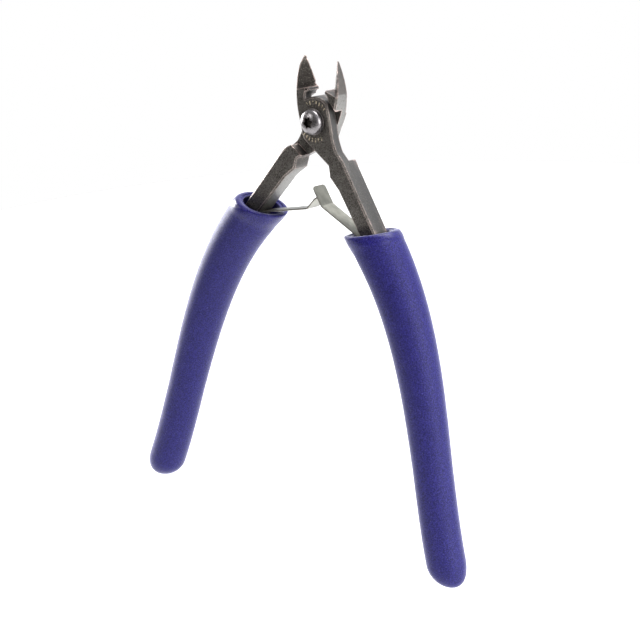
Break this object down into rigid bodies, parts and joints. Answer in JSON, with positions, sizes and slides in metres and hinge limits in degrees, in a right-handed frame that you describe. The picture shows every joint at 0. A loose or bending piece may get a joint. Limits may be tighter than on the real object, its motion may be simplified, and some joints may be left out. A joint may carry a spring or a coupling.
{
  "type": "diagonal cutting pliers",
  "caption": "Precision diagonal cutters with lapped steel halves on a screw pivot, flat return springs and long curved cushioned grips.",
  "frame": {"origin": "middle of the pivot, halfway through the thickness of the tool", "axes": "+Z from the grips to the jaws, +X across the open handles, -Y out of the face with the screw head"},
  "size_m": [0.129, 0.017, 0.1521],
  "materials": {
    "tool_steel": "satin ground, lightly darkened",
    "pivot_steel": "polished",
    "spring_steel": "fine satin nickel",
    "cushion_grip": "fine-grained matte cushion"
  },
  "bodies": {
    "front": {"front_half": "tool_steel", "right_grip": "cushion_grip", "right_leaf_spring": "spring_steel", "right_spring_rivet": "tool_steel", "pivot_screw": "pivot_steel", "pivot_washer": "pivot_steel", "pivot_nut": "pivot_steel"},
    "rear": {"rear_half": "tool_steel", "left_grip": "cushion_grip", "left_leaf_spring": "spring_steel", "left_spring_rivet": "tool_steel"}
  },
  "joints": [
    {"name": "pivot", "type": "hinge", "parent": "front", "child": "rear", "pos_m": [0, 0, 0], "axis": [0, -1, 0], "range_deg": [0, 34], "stiffness_Nm_per_rad": 2, "deforming": ["right_leaf_spring", "left_leaf_spring"]}
  ]
}
